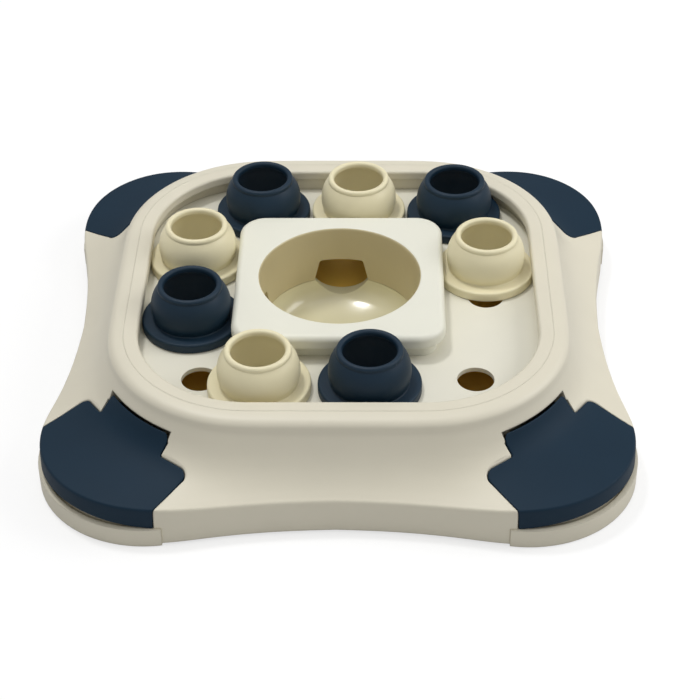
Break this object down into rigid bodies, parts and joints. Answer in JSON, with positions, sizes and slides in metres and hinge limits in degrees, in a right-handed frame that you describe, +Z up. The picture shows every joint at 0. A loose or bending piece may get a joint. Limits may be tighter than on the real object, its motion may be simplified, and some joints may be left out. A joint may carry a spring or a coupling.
{
  "type": "dog puzzle feeder toy",
  "caption": "Square treat puzzle: cup sliders run in a track round a bowl, treats fall through floor holes, and flip-up corner lids cover pockets.",
  "frame": {"origin": "on the ground under the middle of the housing", "axes": "+Z up, front towards -Y, right towards +X"},
  "size_m": [0.3, 0.3, 0.0649],
  "materials": {
    "cream_shell": "satin moulded",
    "cream_inner": "satin moulded",
    "cream_island": "satin moulded",
    "cream_gloss": "polished mould face",
    "navy": "fine grain moulded",
    "cream_slider": "satin moulded",
    "rubber": "matt",
    "steel": "plain"
  },
  "bodies": {
    "housing": {"upper_body": "cream_shell", "retaining_ring": "cream_shell", "track_plate": "cream_inner", "island_bowl": "cream_island", "treat_funnel": "cream_gloss", "base_tray": "cream_shell", "foot_back_right": "rubber", "foot_back_left": "rubber", "foot_front_left": "rubber", "foot_front_right": "rubber", "body_screws": "steel", "island_screws": "steel"},
    "lid_back_right": {"lid_back_right": "navy"},
    "lid_back_left": {"lid_back_left": "navy"},
    "lid_front_left": {"lid_front_left": "navy"},
    "lid_front_right": {"lid_front_right": "navy"},
    "slider_back_left": {"slider_back_left": "navy"},
    "slider_back_middle": {"slider_back_middle": "cream_slider"},
    "slider_back_right": {"slider_back_right": "navy"},
    "slider_right": {"slider_right": "cream_slider"},
    "slider_front_right": {"slider_front_right": "navy"},
    "slider_front_left": {"slider_front_left": "cream_slider"},
    "slider_left_front": {"slider_left_front": "navy"},
    "slider_left_back": {"slider_left_back": "cream_slider"}
  },
  "joints": [
    {"name": "lid_back_right_hinge", "type": "hinge", "parent": "housing", "child": "lid_back_right", "pos_m": [0.09829, 0.09829, 0.0318], "axis": [0.7071, -0.7071, 0], "range_deg": [0, 90]},
    {"name": "lid_back_left_hinge", "type": "hinge", "parent": "housing", "child": "lid_back_left", "pos_m": [-0.09829, 0.09829, 0.0318], "axis": [0.7071, 0.7071, 0], "range_deg": [0, 90]},
    {"name": "lid_front_left_hinge", "type": "hinge", "parent": "housing", "child": "lid_front_left", "pos_m": [-0.09829, -0.09829, 0.0318], "axis": [-0.7071, 0.7071, 0], "range_deg": [0, 90]},
    {"name": "lid_front_right_hinge", "type": "hinge", "parent": "housing", "child": "lid_front_right", "pos_m": [0.09829, -0.09829, 0.0318], "axis": [-0.7071, -0.7071, 0], "range_deg": [0, 90]},
    {"name": "slider_back_left_slide", "type": "slide", "parent": "housing", "child": "slider_back_left", "axis": [1, 0, 0], "range_m": [-0.0065, 0.0009]},
    {"name": "slider_back_middle_slide", "type": "slide", "parent": "housing", "child": "slider_back_middle", "axis": [1, 0, 0], "range_m": [-0.0009, 0.0008]},
    {"name": "slider_back_right_turn", "type": "hinge", "parent": "housing", "child": "slider_back_right", "pos_m": [0.0502, 0.0502, 0], "axis": [0, 0, -1], "range_deg": [-1.5, 8]},
    {"name": "slider_right_slide", "type": "slide", "parent": "housing", "child": "slider_right", "axis": [0, -1, 0], "range_m": [-0.0022, 0.0715]},
    {"name": "slider_front_right_slide", "type": "slide", "parent": "housing", "child": "slider_front_right", "axis": [-1, 0, 0], "range_m": [-0.034, 0.0023]},
    {"name": "slider_front_left_slide", "type": "slide", "parent": "housing", "child": "slider_front_left", "axis": [-1, 0, 0], "range_m": [-0.0025, 0.0113]},
    {"name": "slider_left_front_slide", "type": "slide", "parent": "housing", "child": "slider_left_front", "axis": [0, 1, 0], "range_m": [-0.017, 0.0015]},
    {"name": "slider_left_back_slide", "type": "slide", "parent": "housing", "child": "slider_left_back", "axis": [0, 1, 0], "range_m": [-0.0015, 0.0035]}
  ]
}
